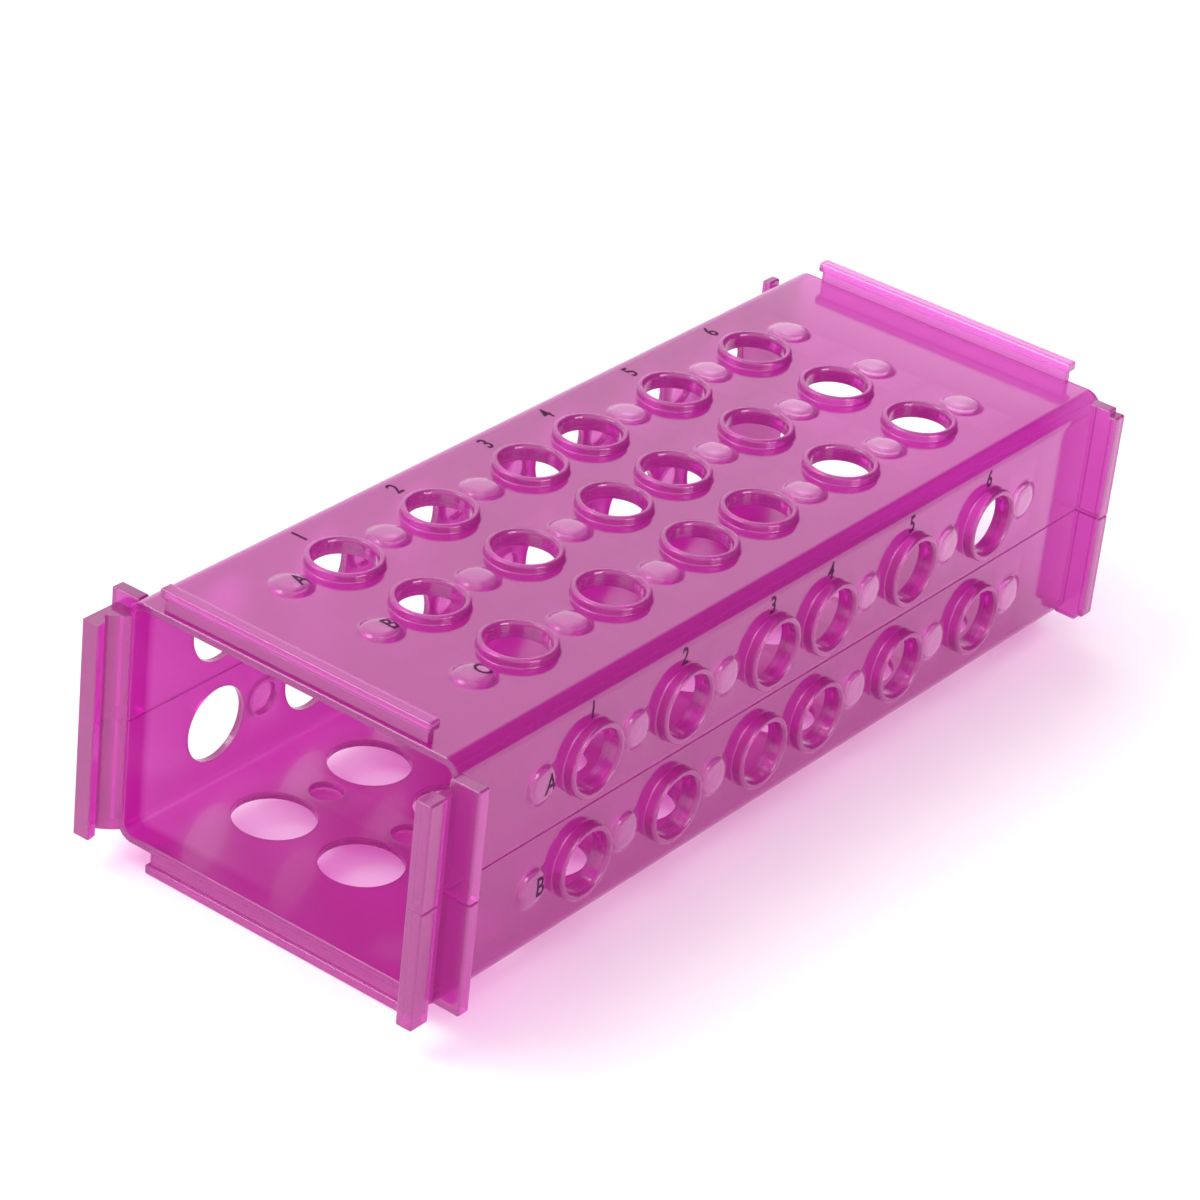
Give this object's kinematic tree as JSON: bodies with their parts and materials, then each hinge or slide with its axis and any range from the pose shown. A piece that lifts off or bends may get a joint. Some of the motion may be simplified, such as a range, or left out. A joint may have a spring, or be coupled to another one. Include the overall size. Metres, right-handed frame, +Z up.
{
  "type": "microcentrifuge tube rack",
  "caption": "Four-way translucent rack for small laboratory tubes: an open-ended rectangular tube with rows of holes in all four walls, raised collars, end rails and side hooks.",
  "frame": {"origin": "middle of the overall length and width, on the plane that the bottom rails stand on", "axes": "+X along the rack towards the far end, +Y from the collared front wall to the back wall, +Z up"},
  "size_m": [0.19, 0.0784, 0.0536],
  "materials": {
    "magenta_plastic": "gloss"
  },
  "bodies": {
    "root": {"upper_half": "magenta_plastic", "lower_half": "magenta_plastic"}
  },
  "joints": []
}
